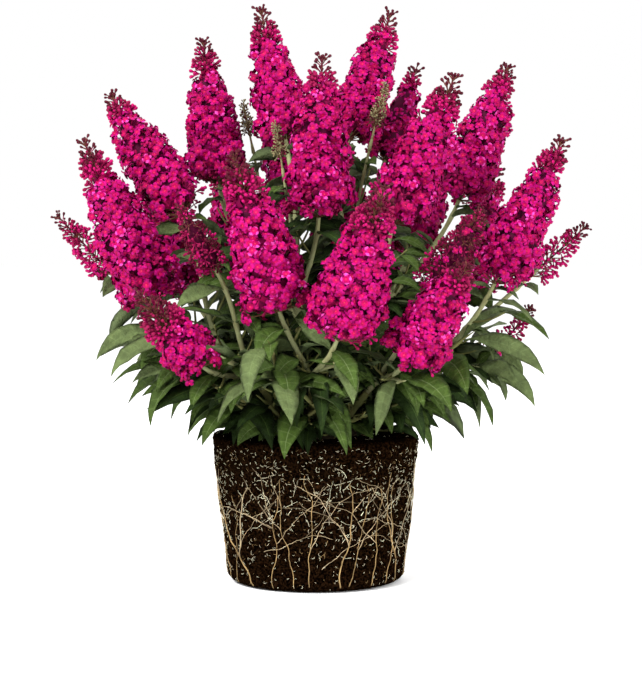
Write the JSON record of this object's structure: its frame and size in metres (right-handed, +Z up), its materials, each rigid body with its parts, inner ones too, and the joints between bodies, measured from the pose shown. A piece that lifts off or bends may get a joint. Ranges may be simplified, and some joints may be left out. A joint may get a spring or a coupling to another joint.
{
  "type": "butterfly bush on its root ball",
  "caption": "Young flowering butterfly bush out of its pot: leafy boughs fan out from a short trunk on a tapered root ball and end in upright cone-shaped magenta flower spikes.",
  "frame": {"origin": "middle of the root ball's flat underside, which stands on the ground", "axes": "+Z up along the plant; -Y is the front, which the fullest spikes face; +X to the right seen from the front"},
  "size_m": [0.481, 0.3953, 0.514],
  "materials": {
    "soil": "dark crumbly potting compost bound by pale tan roots, fully matt",
    "bark": "grey-green felted young stems, brown and fissured on the trunk",
    "leaf": "matt grey-green leaf with a downy pale underside and sunken veins",
    "flower": "magenta petals with a soft satin, orange-red eyes",
    "bud": "matt burgundy flower buds"
  },
  "bodies": {
    "root": {"root_ball": "soil", "trunk": "bark", "bough_left": "bark", "bough_left_low": "bark", "bough_front": "bark", "bough_centre": "bark", "bough_crown_left": "bark", "bough_crown_right": "bark", "bough_right_high": "bark", "bough_right": "bark", "bough_right_low": "bark", "bough_back_left": "bark", "bough_back": "bark", "bough_back_right": "bark", "spike_left_1": "flower", "spike_left_2": "flower", "spike_left_3": "bud", "spike_left_low_1": "flower", "spike_left_low_2": "bud", "spike_front_1": "flower", "spike_front_2": "flower", "spike_centre_1": "flower", "spike_centre_2": "flower", "spike_crown_left_1": "flower", "spike_crown_right_1": "flower", "spike_crown_right_2": "flower", "spike_right_high_1": "flower", "spike_right_high_2": "flower", "spike_right_1": "flower", "spike_right_2": "bud", "spike_right_3": "bud", "spike_right_low_1": "flower", "spike_right_low_2": "flower", "spike_back_left_1": "flower", "spike_back_left_2": "flower", "spike_back_left_3": "bud", "spike_back_1": "flower", "spike_back_2": "flower", "spike_back_3": "flower", "spike_back_right_1": "flower", "spike_back_right_2": "flower", "spike_back_right_3": "flower", "leaves_left": "leaf", "leaves_left_low": "leaf", "leaves_front": "leaf", "leaves_centre": "leaf", "leaves_crown_left": "leaf", "leaves_crown_right": "leaf", "leaves_right_high": "leaf", "leaves_right": "leaf", "leaves_right_low": "leaf", "leaves_back_left": "leaf", "leaves_back": "leaf", "leaves_back_right": "leaf", "leaves_skirt_1": "leaf", "leaves_skirt_2": "leaf", "leaves_skirt_3": "leaf", "leaves_skirt_4": "leaf", "leaves_skirt_5": "leaf", "leaves_skirt_6": "leaf"}
  },
  "joints": []
}
